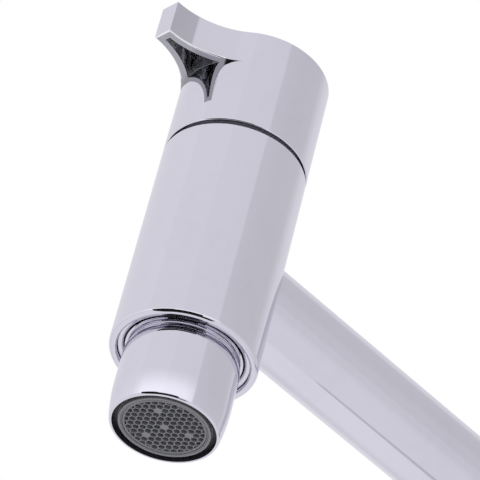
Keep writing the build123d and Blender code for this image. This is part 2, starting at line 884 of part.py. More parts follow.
def base_collar():
    step_z = base_collar_bottom_z + base_collar_thread
    inner = tube_radius + visible_gap
    collar = ring(rim_bore - visible_gap, inner, step_z, base_collar_top_z)
    collar = soften(collar, rim_bore - visible_gap, base_collar_top_z, collar_round)
    collar = soften(collar, inner, base_collar_top_z, collar_round)
    collar += ring(rim_bore - slip, inner, base_collar_bottom_z, step_z)
    half_groove = dust_seal_cord + slip
    return collar - ring(tube_radius + 2 * half_groove, tube_radius, dust_seal_z - half_groove,
                         dust_seal_z + half_groove)


def riser_dust_seal():
    return o_ring(dust_seal_cord, tube_radius + running + dust_seal_cord, dust_seal_z)


def swivel_bush(low):
    return ring(bush_outer, bush_inner, low, low + bush_height)


def thrust_washer():
    return ring(bush_outer, tube_bore, base_floor_z, hub_bottom_z - seat)


def swivel_stop_screw():
    start = hub_radius - stop_tip_length
    shoulder = hub_radius + visible_gap
    stop = base_radius - stop_screw_sink
    screw = along_y(stop_tip_radius, start, shoulder, z=stop_z)
    screw += along_y(stop_screw_radius - slip, shoulder, stop, z=stop_z)
    return screw - key_socket(stop_key_radius, stop, stop_z)


def threaded_shank():
    """The thread is drawn as plain rings, one for each turn."""
    low = -shank_drop
    root = shank_radius - thread_depth
    flank = (thread_pitch - thread_crest) / 2
    turns = int(shank_drop / thread_pitch)
    points = [(shank_bore, low), (root, low)]
    for k in range(turns):
        z = low + k * thread_pitch
        points.append((shank_radius, z + flank))
        points.append((shank_radius, z + flank + thread_crest))
        points.append((root, z + thread_pitch))
    top = rosette_height + shank_engagement
    points += [(shank_radius, low + turns * thread_pitch + thread_depth), (shank_radius, top)]
    points += [(shank_bore, top), (shank_bore, low)]
    return turned(Polyline(*points))


def under_worktop_seal():
    inner = shank_radius + visible_gap
    return ring(inner + under_seal_width, inner, under_seal_z, -worktop_thickness)


def clamp_washer():
    inner = shank_radius + visible_gap
    return ring(inner + clamp_washer_width, inner, clamp_washer_z, under_seal_z)


def back_nut():
    hexagon = RegularPolygon(back_nut_flats, 6, major_radius=False)
    nut = Pos(0, 0, back_nut_z) * extrude(hexagon, back_nut_height)
    nut &= disc(back_nut_flats + back_nut_corner, back_nut_z, clamp_washer_z)
    return nut - disc(shank_radius + slip, back_nut_z - past, clamp_washer_z + past)


parts = {
    "barrel_shell": barrel_shell(),
    "mixing_body": mixing_body(),
    "arm_union": arm_union(),
    "feed_tube_seals": feed_tube_seals(),
    "cartridge_base": cartridge_base(),
    "port_seals": port_seals(),
    "fixed_disc": fixed_disc(),
    "cartridge_housing": cartridge_housing(),
    "cartridge_nut": cartridge_nut(),
    "glide_ring": glide_ring(),
    "moving_disc": moving_disc(),
    "disc_carrier": disc_carrier(),
    "cartridge_spindle": cartridge_spindle(),
    "spindle_seal": spindle_seal(),
    "lever_cap": lever_cap(),
    "cap_grub_screw": cap_grub_screw(),
    "grub_screw_plug": grub_screw_plug(),
    "outlet_collar": outlet_collar(),
    "swivel_ball": swivel_ball(),
    "slip_ring": slip_ring(),
    "ball_retaining_ring": ball_retaining_ring(),
    "ball_seal": ball_seal(),
    "nozzle_core": nozzle_core(),
    "nozzle_sleeve": nozzle_sleeve(),
    "aerator_housing": aerator_housing(),
    "aerator_grid": aerator_grid(),
    "aerator_jet_plate": aerator_jet_plate(),
    "flow_regulator": flow_regulator(),
    "aerator_filter": aerator_filter(),
    "aerator_gasket": aerator_gasket(),
    "spout_tube": spout_tube(),
    "hot_feed_tube": feed_tube(-half_spacing),
    "cold_feed_tube": feed_tube(half_spacing),
    "hot_inlet_socket": inlet_socket(-half_spacing),
    "cold_inlet_socket": inlet_socket(half_spacing),
    "riser_tube_clip": riser_tube_clip(),
    "arm_tube_clip": arm_tube_clip(),
    "swivel_hub": swivel_hub(),
    "base_rosette": base_rosette(),
    "base_gasket": base_gasket(),
    "base_body": base_body(),
    "base_collar": base_collar(),
    "riser_dust_seal": riser_dust_seal(),
    "upper_swivel_bush": swivel_bush(base_collar_bottom_z - bush_height),
    "lower_swivel_bush": swivel_bush(lower_bush_z),
    "bush_snap_ring": bush_snap_ring(),
    "thrust_washer": thrust_washer(),
    "swivel_stop_screw": swivel_stop_screw(),
    "threaded_shank": threaded_shank(),
    "under_worktop_seal": under_worktop_seal(),
    "clamp_washer": clamp_washer(),
    "back_nut": back_nut(),
}

os.makedirs("parts", exist_ok=True)
for name, part in parts.items():
    solids = part if isinstance(part, list) else part.solids()
    export_step(Compound(children=list(solids)), f"parts/{name}.step")
    print(name, len(solids))
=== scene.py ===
import bpy
import math
from mathutils import Matrix, Vector


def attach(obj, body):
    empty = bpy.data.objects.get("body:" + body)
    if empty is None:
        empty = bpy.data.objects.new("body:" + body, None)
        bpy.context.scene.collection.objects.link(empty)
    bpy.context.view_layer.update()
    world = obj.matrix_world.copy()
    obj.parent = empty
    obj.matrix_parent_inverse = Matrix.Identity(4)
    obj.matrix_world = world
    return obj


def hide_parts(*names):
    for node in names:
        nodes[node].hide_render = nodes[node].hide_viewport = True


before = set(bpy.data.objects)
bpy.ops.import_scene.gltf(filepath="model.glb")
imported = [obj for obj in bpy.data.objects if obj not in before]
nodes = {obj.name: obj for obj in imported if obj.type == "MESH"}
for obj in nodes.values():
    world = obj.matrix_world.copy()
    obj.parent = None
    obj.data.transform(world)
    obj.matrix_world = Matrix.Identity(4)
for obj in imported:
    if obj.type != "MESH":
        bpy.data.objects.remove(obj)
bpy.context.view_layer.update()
bpy.context.scene.view_settings.view_transform = "Standard"
print("frame loaded:", len(nodes), "parts")

headPlace = (0, -0.22)      # the head's axis, seen from above
cameraSide = -37.249        # the camera's side of the head, in degrees from +X
close, touching = 1e-5, 1e-6        # metres; how near counts as on a line, and as the same height


def deselectAll():
    if bpy.context.object and bpy.context.object.mode != "OBJECT":
        bpy.ops.object.mode_set(mode="OBJECT")
    bpy.ops.object.select_all(action="DESELECT")


def settle(piece):
    deselectAll()
    piece.select_set(True)
    bpy.context.view_layer.objects.active = piece
    bpy.ops.object.transform_apply(location=True, rotation=True, scale=True)
    return piece


def pick(piece, kind, test):
    # goes to edit mode, with only the faces, edges or points that pass the test selected
    deselectAll()
    piece.select_set(True)
    bpy.context.view_layer.objects.active = piece
    bpy.ops.object.mode_set(mode="EDIT")
    bpy.ops.mesh.select_mode(type={"polygons": "FACE", "edges": "EDGE", "vertices": "VERT"}[kind])
    bpy.ops.mesh.select_all(action="DESELECT")
    bpy.ops.object.mode_set(mode="OBJECT")
    for part in getattr(piece.data, kind):
        part.select = test(part)
    bpy.ops.object.mode_set(mode="EDIT")


def fromAxis(point):
    return math.hypot(point.x - headPlace[0], point.y - headPlace[1])


def roundAxis(point):
    # degrees round the head, from +X
    return math.degrees(math.atan2(point.y - headPlace[1], point.x - headPlace[0]))


def addNode(tree, kind, place=(0, 0), **values):
    node = tree.nodes.new(kind)
    node.location = place
    for key, value in values.items():
        setattr(node, key, value)
    return node


def join(tree, fromSocket, toSocket):
    tree.links.new(fromSocket, toSocket)


def setRamp(node, stops):
    ramp = node.color_ramp
    while len(ramp.elements) > 1:
        ramp.elements.remove(ramp.elements[-1])
    ramp.elements[0].position = stops[0][0]
    ramp.elements[0].color = (*stops[0][1], 1)
    for place, colour in stops[1:]:
        ramp.elements.new(place).color = (*colour, 1)


def byAngle(stops, colourOf):
    # ramp stops from degrees; half a turn either way of the camera's side is 0 to 1
    return [((angle + 180) / 360, colourOf(level)) for angle, level in stops]


def sweepRound(tree, vector, place):
    # how far round from the camera's side a direction points, 0 to 1
    turn = addNode(tree, "ShaderNodeMapping", place)
    turn.inputs["Rotation"].default_value = (0, 0, -math.radians(cameraSide))
    sweep = addNode(tree, "ShaderNodeTexGradient", (place[0] + 200, place[1]), gradient_type="RADIAL")
    join(tree, vector, turn.inputs["Vector"])
    join(tree, turn.outputs[0], sweep.inputs["Vector"])
    return sweep.outputs["Color"]


# camera: close under the spout, looking up at the nozzle
cameraView = {
    "azimuth": 52.751,      # degrees, round the tap
    "elevation": -38.358,
    "roll": 14.886,
    "lens": 283.02, "sensor": 36,       # mm
    "nearest": 0.05, "farthest": 100,
    "place": (0.71576, -0.75516, -0.39404),
}

bpy.ops.object.camera_add(location=cameraView["place"])
camera = bpy.context.object
camera.name = "camera"
camera.data.lens = cameraView["lens"]
camera.data.sensor_width = cameraView["sensor"]
camera.data.clip_start = cameraView["nearest"]
camera.data.clip_end = cameraView["farthest"]
az, el, roll = (math.radians(cameraView[key]) for key in ("azimuth", "elevation", "roll"))
forward = Vector((-math.sin(az) * math.cos(el), math.cos(az) * math.cos(el), -math.sin(el)))
sideways = Vector((math.cos(az), math.sin(az), 0))
upward = sideways.cross(forward)
right = sideways * math.cos(roll) + upward * math.sin(roll)
up = -sideways * math.sin(roll) + upward * math.cos(roll)
facing = Matrix((right, up, -forward)).transposed().to_4x4()
camera.matrix_world = Matrix.Translation(cameraView["place"]) @ facing
bpy.context.scene.camera = camera
print("camera placed")

# floor: pale paper, open to the camera from below, and a little greyer in reflections
floorLook = {
    "height": -0.0605, "size": 60, "colour": (0.97, 0.97, 0.975),
    "reflected": (0.955, 0.948, 1.0),       # what polished metal sees of it
    "near": 0.88, "nearEdge": 0.45, "far": 0.80, "farEdge": 1.5,        # its brightness there, by metres from the head
    "clearFrom": 0.5, "clearBy": 1.6,       # metres from the head over which it turns plain white to the camera
    # how bright its reflection is, by degrees from the camera's side, and a level above the brightest
    "round": [(-180, 1.03), (50, 1.03), (62, 0.975), (127, 0.975), (134, 1.05), (180, 1.05)], "roundTop": 1.1,
}

deselectAll()
bpy.ops.mesh.primitive_plane_add(size=floorLook["size"], location=(0, 0, floorLook["height"]))
floor = bpy.context.object
floor.name = "floor"
settle(floor)

paper = bpy.data.materials.new("paleFloor")
paper.use_nodes = True
tree = paper.node_tree
tree.nodes.clear()
output = addNode(tree, "ShaderNodeOutputMaterial", (900, 0))
through = addNode(tree, "ShaderNodeMixShader", (700, 0))
seeThrough = addNode(tree, "ShaderNodeBsdfTransparent", (450, -240))
matt = addNode(tree, "ShaderNodeBsdfDiffuse", (250, 0))
matt.inputs["Color"].default_value = (*floorLook["colour"], 1)
mirrored = addNode(tree, "ShaderNodeEmission", (250, -140))
mirrored.inputs["Color"].default_value = (*floorLook["reflected"], 1)
kind = addNode(tree, "ShaderNodeMixShader", (450, 0))
where = addNode(tree, "ShaderNodeTexCoord", (-400, -140))
away = addNode(tree, "ShaderNodeVectorMath", (-200, -140), operation="DISTANCE")
away.inputs[1].default_value = (*headPlace, floorLook["height"])
fade = addNode(tree, "ShaderNodeMapRange", (0, -140), interpolation_type="SMOOTHSTEP")
for label, key in (("From Min", "nearEdge"), ("From Max", "farEdge"), ("To Min", "near"), ("To Max", "far")):
    fade.inputs[label].default_value = floorLook[key]
# for the camera the paper fades to plain white away from the head
plainWhite = addNode(tree, "ShaderNodeEmission", (250, 120))
clear = addNode(tree, "ShaderNodeMapRange", (0, -400), interpolation_type="SMOOTHSTEP")
clear.inputs["From Min"].default_value = floorLook["clearFrom"]
clear.inputs["From Max"].default_value = floorLook["clearBy"]
seen = addNode(tree, "ShaderNodeMath", (200, -400), operation="MULTIPLY")
white = addNode(tree, "ShaderNodeMixShader", (450, 120))
rays = addNode(tree, "ShaderNodeLightPath", (0, 300))
side = addNode(tree, "ShaderNodeNewGeometry", (0, 100))
fromBelow = addNode(tree, "ShaderNodeMath", (450, 200), operation="MULTIPLY")
join(tree, where.outputs["Object"], away.inputs[0])
join(tree, away.outputs["Value"], fade.inputs["Value"])
offset = addNode(tree, "ShaderNodeVectorMath", (-600, -600), operation="SUBTRACT")
offset.inputs[1].default_value = (*headPlace, 0)
join(tree, where.outputs["Object"], offset.inputs[0])
bySide = addNode(tree, "ShaderNodeValToRGB", (0, -600))
setRamp(bySide, byAngle(floorLook["round"], lambda level: (level / floorLook["roundTop"],) * 3))
bright = addNode(tree, "ShaderNodeMath", (250, -300), operation="MULTIPLY")
scaled = addNode(tree, "ShaderNodeMath", (250, -500), operation="MULTIPLY")
scaled.inputs[1].default_value = floorLook["roundTop"]
join(tree, sweepRound(tree, offset.outputs["Vector"], (-400, -600)), bySide.inputs["Fac"])
join(tree, bySide.outputs["Color"], scaled.inputs[0])
join(tree, scaled.outputs[0], bright.inputs[0])
join(tree, fade.outputs["Result"], bright.inputs[1])
join(tree, bright.outputs[0], mirrored.inputs["Strength"])
join(tree, away.outputs["Value"], clear.inputs["Value"])
join(tree, clear.outputs["Result"], seen.inputs[0])
join(tree, rays.outputs["Is Camera Ray"], seen.inputs[1])
join(tree, seen.outputs[0], white.inputs["Fac"])
join(tree, matt.outputs[0], white.inputs[1])
join(tree, plainWhite.outputs[0], white.inputs[2])
join(tree, rays.outputs["Is Glossy Ray"], kind.inputs["Fac"])
join(tree, white.outputs[0], kind.inputs[1])
join(tree, mirrored.outputs[0], kind.inputs[2])
join(tree, rays.outputs["Is Camera Ray"], fromBelow.inputs[0])
join(tree, side.outputs["Backfacing"], fromBelow.inputs[1])
join(tree, fromBelow.outputs[0], through.inputs["Fac"])
join(tree, kind.outputs[0], through.inputs[1])
join(tree, seeThrough.outputs[0], through.inputs[2])
join(tree, through.outputs[0], output.inputs["Surface"])
floor.data.materials.append(paper)

# surround: white to the camera; the metal sees a tent of pale panels, some greyer, all lighter low down
surround = {
    "strength": 0.87,
    "tint": (0.95, 0.945, 1.0),
    "glowTop": 33, "glowFull": 15,      # degrees above level where the panels start to be lighter, and are fully so
    # how much lighter, by degrees from the camera's side
    "glow": [(-180, 0.08), (-80, 0.10), (-62, 0.42), (20, 0.42), (36, 0.30), (40, 0.05), (180, 0.08)],
    # each panel's edge in degrees from the camera's side, and how bright it is
    "panels": [(-180, 0.95), (-74, 1.03), (-72, 1.0), (-19.5, 1.0), (-18, 0.975), (37, 0.955), (39, 0.84),
               (70, 0.80), (112, 0.80), (133, 0.95), (180, 0.95)],
}

world = bpy.data.worlds.new("studio")
bpy.context.scene.world = world
world.use_nodes = True
tree = world.node_tree
tree.nodes.clear()
output = addNode(tree, "ShaderNodeOutputWorld", (1100, 0))
choose = addNode(tree, "ShaderNodeMixShader", (900, 0))
white = addNode(tree, "ShaderNodeBackground", (650, -160))
white.inputs["Color"].default_value = (1, 1, 1, 1)
white.inputs["Strength"].default_value = 1
soft = addNode(tree, "ShaderNodeBackground", (650, 0))
where = addNode(tree, "ShaderNodeTexCoord", (-900, 0))
angleRound = sweepRound(tree, where.outputs["Generated"], (-700, 100))
panels = addNode(tree, "ShaderNodeValToRGB", (-300, 100))
setRamp(panels, byAngle(surround["panels"], lambda level: tuple(level * part for part in surround["tint"])))
lighter = addNode(tree, "ShaderNodeValToRGB", (-300, -150))
setRamp(lighter, byAngle(surround["glow"], lambda level: (level, level, level)))
split = addNode(tree, "ShaderNodeSeparateXYZ", (-500, -400))
low = addNode(tree, "ShaderNodeMapRange", (-300, -400), interpolation_type="SMOOTHSTEP")
low.inputs["From Min"].default_value = math.sin(math.radians(surround["glowTop"]))
low.inputs["From Max"].default_value = math.sin(math.radians(surround["glowFull"]))
added = addNode(tree, "ShaderNodeMath", (0, -200), operation="MULTIPLY_ADD")
added.inputs[2].default_value = 1
glow = addNode(tree, "ShaderNodeMath", (200, -200), operation="MULTIPLY")
glow.inputs[1].default_value = surround["strength"]
rays = addNode(tree, "ShaderNodeLightPath", (400, 300))
join(tree, angleRound, panels.inputs["Fac"])
join(tree, angleRound, lighter.inputs["Fac"])
join(tree, where.outputs["Generated"], split.inputs["Vector"])
join(tree, split.outputs["Z"], low.inputs["Value"])
join(tree, low.outputs["Result"], added.inputs[0])
join(tree, lighter.outputs["Color"], added.inputs[1])
join(tree, added.outputs[0], glow.inputs[0])
join(tree, panels.outputs["Color"], soft.inputs["Color"])
join(tree, glow.outputs[0], soft.inputs["Strength"])
join(tree, rays.outputs["Is Camera Ray"], choose.inputs["Fac"])
join(tree, soft.outputs[0], choose.inputs[1])
join(tree, white.outputs[0], choose.inputs[2])
join(tree, choose.outputs[0], output.inputs["Surface"])

# cards that only the metal sees, standing or lying round the head as in a light tent
cards = {
    "tallBlackCard": {"angles": (-59, -28), "distance": 0.8, "heights": (-0.06, 0.42), "strength": 0.012},
    "lowBlackCard": {"angles": (-28, 11), "distance": 0.8, "heights": (-0.06, 0.33), "strength": 0.012},
    # laid flat, from the distance out
    "darkFloorCard": {"angles": (-60, 30), "distance": 0.20, "out": 0.8, "heights": (-0.055, -0.055),
                      "strength": 0.015},
}
flatStrip = 0.01        # a card that lies flat is this tall before it is spread out


def bendCard(name, look):
    deselectAll()
    low, high = look["heights"]
    bpy.ops.mesh.primitive_cylinder_add(vertices=360, radius=look["distance"], depth=max(high - low, flatStrip),
                                        end_fill_type="NOTHING", location=(*headPlace, (low + high) / 2))
    card = bpy.context.object
    card.name = name
    settle(card)
    start, stop = look["angles"]

    def outside(face):
        return not 0 <= (roundAxis(face.center) - cameraSide - start) % 360 <= stop - start

    pick(card, "polygons", outside)
    bpy.ops.mesh.delete(type="FACE")
    if "out" in look:           # the upper edge is spread out over the floor
        pick(card, "vertices", lambda point: point.co.z > (low + high) / 2)
        wider = look["out"] / look["distance"]
        bpy.ops.transform.resize(value=(wider, wider, 1), center_override=(*headPlace, low))
        bpy.ops.transform.translate(value=(0, 0, -flatStrip))
    bpy.ops.object.mode_set(mode="OBJECT")
    board = bpy.data.materials.new(name)
    board.use_nodes = True
    tree = board.node_tree
    tree.nodes.clear()
    output = addNode(tree, "ShaderNodeOutputMaterial", (300, 0))
    shine = addNode(tree, "ShaderNodeEmission", (0, 0))
    shine.inputs["Strength"].default_value = look["strength"]
    join(tree, shine.outputs[0], output.inputs["Surface"])
    card.data.materials.append(board)
    card.visible_camera = False
    card.visible_diffuse = False
    card.visible_transmission = False
    card.visible_shadow = False


for name, look in cards.items():
    bendCard(name, look)

# one large soft lamp overhead
lampLook = {"place": (0.1, -0.3, 2.6), "aim": (0, -0.1, 0.2), "size": 1.6, "power": 40}
bpy.ops.object.light_add(type="AREA", location=lampLook["place"])
lamp = bpy.context.object
lamp.name = "softLamp"
lamp.data.energy = lampLook["power"]
lamp.data.size = lampLook["size"]
lamp.visible_glossy = False
lamp.rotation_euler = (Vector(lampLook["aim"]) - Vector(lampLook["place"])).to_track_quat("-Z", "Y").to_euler()
print("floor, surround, cards and lamp made")


# effects that several finishes share
def newEffect(name, inputs, outputs):
    effect = bpy.data.node_groups.new(name, "ShaderNodeTree")
    for label, kind, value in inputs:
        socket = effect.interface.new_socket(label, in_out="INPUT", socket_type=kind)
        if value is not None:
            socket.default_value = value
    for label, kind in outputs:
        effect.interface.new_socket(label, in_out="OUTPUT", socket_type=kind)
    return effect, addNode(effect, "NodeGroupInput", (-900, 0)), addNode(effect, "NodeGroupOutput", (900, 0))


def useEffect(tree, effect, place, vector, **values):
    node = addNode(tree, "ShaderNodeGroup", place)
    node.node_tree = effect
    for label, value in values.items():
        node.inputs[label].default_value = value
    join(tree, vector, node.inputs["Vector"])
    return node


# handling: faint smears and rubbed patches, as on a polished or moulded surface
handling, start, end = newEffect(
    "handling",
    [("Vector", "NodeSocketVector", None), ("Scale", "NodeSocketFloat", 30.0), ("Detail", "NodeSocketFloat", 4.0)],
    [("Smear", "NodeSocketFloat"), ("Wave", "NodeSocketFloat")])
broad = addNode(handling, "ShaderNodeTexNoise", (-600, 200))
finer = addNode(handling, "ShaderNodeTexNoise", (-600, -100))
finer.inputs["Detail"].default_value = 6
finer.inputs["Roughness"].default_value = 0.7
closer = addNode(handling, "ShaderNodeMath", (-800, -150), operation="MULTIPLY")
closer.inputs[1].default_value = 7      # how much finer the second pattern is
both = addNode(handling, "ShaderNodeMath", (-300, 100), operation="MULTIPLY")
sharpen = addNode(handling, "ShaderNodeMapRange", (-100, 100), interpolation_type="SMOOTHSTEP")
sharpen.inputs["From Min"].default_value = 0.18
sharpen.inputs["From Max"].default_value = 0.42
join(handling, start.outputs["Vector"], broad.inputs["Vector"])
join(handling, start.outputs["Vector"], finer.inputs["Vector"])
join(handling, start.outputs["Scale"], broad.inputs["Scale"])
join(handling, start.outputs["Detail"], broad.inputs["Detail"])
join(handling, start.outputs["Scale"], closer.inputs[0])
join(handling, closer.outputs[0], finer.inputs["Scale"])
join(handling, broad.outputs["Fac"], both.inputs[0])
join(handling, finer.outputs["Fac"], both.inputs[1])
join(handling, both.outputs[0], sharpen.inputs["Value"])
join(handling, sharpen.outputs["Result"], end.inputs["Smear"])
join(handling, broad.outputs["Fac"], end.inputs["Wave"])

# grain: the fine tooth of a moulded or cast surface
grain, start, end = newEffect(
    "grain",
    [("Vector", "NodeSocketVector", None), ("Scale", "NodeSocketFloat", 2500.0)],
    [("Height", "NodeSocketFloat"), ("Speck", "NodeSocketFloat")])
tooth = addNode(grain, "ShaderNodeTexNoise", (-500, 150))
tooth.inputs["Detail"].default_value = 3
pits = addNode(grain, "ShaderNodeTexVoronoi", (-500, -150))
blendIn = addNode(grain, "ShaderNodeMath", (-200, 0), operation="MULTIPLY_ADD")
blendIn.inputs[1].default_value = 0.4       # how much the pits count
join(grain, start.outputs["Vector"], tooth.inputs["Vector"])
join(grain, start.outputs["Vector"], pits.inputs["Vector"])
join(grain, start.outputs["Scale"], tooth.inputs["Scale"])
join(grain, start.outputs["Scale"], pits.inputs["Scale"])
join(grain, pits.outputs["Distance"], blendIn.inputs[0])
join(grain, tooth.outputs["Fac"], blendIn.inputs[2])
join(grain, blendIn.outputs[0], end.inputs["Height"])
join(grain, tooth.outputs["Fac"], end.inputs["Speck"])

# tool lines: the fine rings that a lathe tool leaves round an upright axis
toolLines, start, end = newEffect(
    "toolLines",
    [("Vector", "NodeSocketVector", None), ("Scale", "NodeSocketFloat", 400.0)],
    [("Height", "NodeSocketFloat"), ("Shade", "NodeSocketFloat")])
rings = addNode(toolLines, "ShaderNodeTexWave", (-500, 150), bands_direction="Z")
rings.inputs["Distortion"].default_value = 0.6
rings.inputs["Detail"].default_value = 2
cloud = addNode(toolLines, "ShaderNodeTexNoise", (-500, -150))
cloud.inputs["Scale"].default_value = 60
lines = addNode(toolLines, "ShaderNodeMath", (-200, 0), operation="MULTIPLY")
join(toolLines, start.outputs["Vector"], rings.inputs["Vector"])
join(toolLines, start.outputs["Vector"], cloud.inputs["Vector"])
join(toolLines, start.outputs["Scale"], rings.inputs["Scale"])
join(toolLines, rings.outputs["Fac"], lines.inputs[0])
join(toolLines, cloud.outputs["Fac"], lines.inputs[1])
join(toolLines, lines.outputs[0], end.inputs["Height"])
join(toolLines, cloud.outputs["Fac"], end.inputs["Shade"])
print("shared effects made")


# finishes
def newFinish(name):
    finish = bpy.data.materials.new(name)
    finish.use_nodes = True
    tree = finish.node_tree
    tree.nodes.clear()
    output = addNode(tree, "ShaderNodeOutputMaterial", (900, 0))
    shader = addNode(tree, "ShaderNodeBsdfPrincipled", (600, 0))
    join(tree, shader.outputs[0], output.inputs["Surface"])
    place = addNode(tree, "ShaderNodeTexCoord", (-900, 0))
    return finish, tree, shader, place.outputs["Object"]


def between(tree, mask, low, high, place):
    node = addNode(tree, "ShaderNodeMapRange", place)
    node.inputs["To Min"].default_value = low
    node.inputs["To Max"].default_value = high
    join(tree, mask, node.inputs["Value"])
    return node.outputs["Result"]


def colourBetween(tree, mask, first, second, place):
    node = addNode(tree, "ShaderNodeMix", place, data_type="RGBA")
    node.inputs[6].default_value = (*first, 1)
    node.inputs[7].default_value = (*second, 1)
    join(tree, mask, node.inputs[0])
    return node.outputs[2]


def raised(tree, height, distance, place):
    node = addNode(tree, "ShaderNodeBump", place)
    node.inputs["Distance"].default_value = distance
    node.inputs["Strength"].default_value = 1
    join(tree, height, node.inputs["Height"])
    return node.outputs["Normal"]


def dress(tree, shader, colours, roughness, relief):
    # colours and roughness: a mask and its two ends; relief: a height and how deep it goes
    join(tree, colourBetween(tree, *colours, (200, 200)), shader.inputs["Base Color"])
    join(tree, between(tree, *roughness, (200, 0)), shader.inputs["Roughness"])
    join(tree, raised(tree, *relief, (200, -250)), shader.inputs["Normal"])


chromeLook = {"colour": (0.735, 0.725, 0.785), "smearColour": (0.715, 0.707, 0.768), "polish": (0.02, 0.055),
              "smearScale": 38.0, "waviness": 0.000012}
chrome, tree, shader, place = newFinish("polishedChrome")
marks = useEffect(tree, handling, (-600, 100), place, Scale=chromeLook["smearScale"])
shader.inputs["Metallic"].default_value = 1
dress(tree, shader, (marks.outputs["Smear"], chromeLook["colour"], chromeLook["smearColour"]),
      (marks.outputs["Smear"], *chromeLook["polish"]), (marks.outputs["Wave"], chromeLook["waviness"]))

# the rough-cast and plated inside of the lever's pocket; its dark blotches (deep) are painted shade for the pocket's
# hollow
pocketLook = {"colour": (0.88, 0.88, 0.93), "deep": (0.20, 0.205, 0.23), "metal": 0.6, "roughness": (0.12, 0.20),
              "toothScale": 1400.0, "lumps": 0.0014, "lumpScale": 240.0}
pocket, tree, shader, place = newFinish("platedCasting")
lumps = useEffect(tree, handling, (-600, 100), place, Scale=pocketLook["lumpScale"], Detail=0.0)
tooth = useEffect(tree, grain, (-600, -150), place, Scale=pocketLook["toothScale"])
shader.inputs["Metallic"].default_value = pocketLook["metal"]
# painted shade: the pocket's plated colour is blotched at random with the dark deep colour
dress(tree, shader, (lumps.outputs["Smear"], pocketLook["deep"], pocketLook["colour"]),
      (tooth.outputs["Speck"], *pocketLook["roughness"]), (lumps.outputs["Wave"], pocketLook["lumps"]))

finishes = {"polishedChrome": chrome}
# under the lever's fin the plate is rougher and painted darker as painted shade, its rolled edge is a painted
# highlight, and the fin's sides get painted shade: colour, cloud, roughness from and to
plates = {
    "paintedShadeChrome": ((0.60, 0.592, 0.64), (0.58, 0.572, 0.62), 0.03, 0.06),
    "dullChromePaintedShade": ((0.43, 0.43, 0.455), (0.40, 0.40, 0.425), 0.10, 0.20),
    "paintedHighlightEdge": ((0.98, 0.98, 0.99), (0.93, 0.93, 0.95), 0.18, 0.28),
}
plateSmears, plateWaviness = 90.0, 0.00002
for name, (colour, cloud, smooth, rough) in plates.items():
    plate, tree, shader, place = newFinish(name)
    marks = useEffect(tree, handling, (-600, 0), place, Scale=plateSmears)
    shader.inputs["Metallic"].default_value = 1
    dress(tree, shader, (marks.outputs["Smear"], colour, cloud), (marks.outputs["Smear"], smooth, rough),
          (marks.outputs["Wave"], plateWaviness))
    finishes[name] = plate

# metals with tool lines: colour, shaded colour, roughness from and to, line scale, line depth
turnedMetals = {
    "machinedBrass": ((0.80, 0.62, 0.30), (0.62, 0.44, 0.19), 0.18, 0.34, 900.0, 0.00002),
    "nickelBrass": ((0.40, 0.39, 0.40), (0.26, 0.255, 0.27), 0.16, 0.30, 700.0, 0.00002),
    "drawnCopper": ((0.77, 0.42, 0.28), (0.55, 0.27, 0.17), 0.20, 0.36, 240.0, 0.000015),
    "stainlessSteel": ((0.60, 0.60, 0.61), (0.47, 0.47, 0.48), 0.20, 0.36, 1100.0, 0.000015),
}
metalSmears = 70.0
for name, (colour, shade, smooth, rough, scale, depth) in turnedMetals.items():
    finish, tree, shader, place = newFinish(name)
    cuts = useEffect(tree, toolLines, (-600, 100), place, Scale=scale)
    marks = useEffect(tree, handling, (-600, -150), place, Scale=metalSmears)
    shader.inputs["Metallic"].default_value = 1
    dress(tree, shader, (cuts.outputs["Shade"], shade, colour), (marks.outputs["Smear"], smooth, rough),
          (cuts.outputs["Height"], depth))
    finishes[name] = finish

# plastics, ceramic and rubber: colour, second colour, roughness from and to, grain scale, grain depth
mouldedThings = {
    "graphitePlastic": ((0.10, 0.10, 0.11), (0.14, 0.14, 0.15), 0.22, 0.34, 2600.0, 0.000003),
    "blackPlastic": ((0.014, 0.014, 0.016), (0.020, 0.020, 0.022), 0.45, 0.58, 2600.0, 0.000003),
    "greyPlastic": ((0.128, 0.130, 0.138), (0.150, 0.152, 0.160), 0.24, 0.38, 3200.0, 0.000006),
    "whitePlastic": ((0.80, 0.80, 0.77), (0.70, 0.70, 0.67), 0.38, 0.52, 2400.0, 0.00002),
    "acetal": ((0.86, 0.85, 0.81), (0.78, 0.77, 0.72), 0.34, 0.46, 1800.0, 0.00001),
    "lappedCeramic": ((0.90, 0.885, 0.85), (0.84, 0.82, 0.78), 0.08, 0.20, 5000.0, 0.000004),
    "blackRubber": ((0.022, 0.022, 0.023), (0.045, 0.045, 0.046), 0.62, 0.82, 1500.0, 0.00003),
}
mouldedSmears = 90.0
for name, (colour, second, smooth, rough, scale, depth) in mouldedThings.items():
    finish, tree, shader, place = newFinish(name)
    tooth = useEffect(tree, grain, (-600, 100), place, Scale=scale)
    marks = useEffect(tree, handling, (-600, -150), place, Scale=mouldedSmears)
    dress(tree, shader, (tooth.outputs["Speck"], colour, second), (marks.outputs["Smear"], smooth, rough),
          (tooth.outputs["Height"], depth))
    finishes[name] = finish

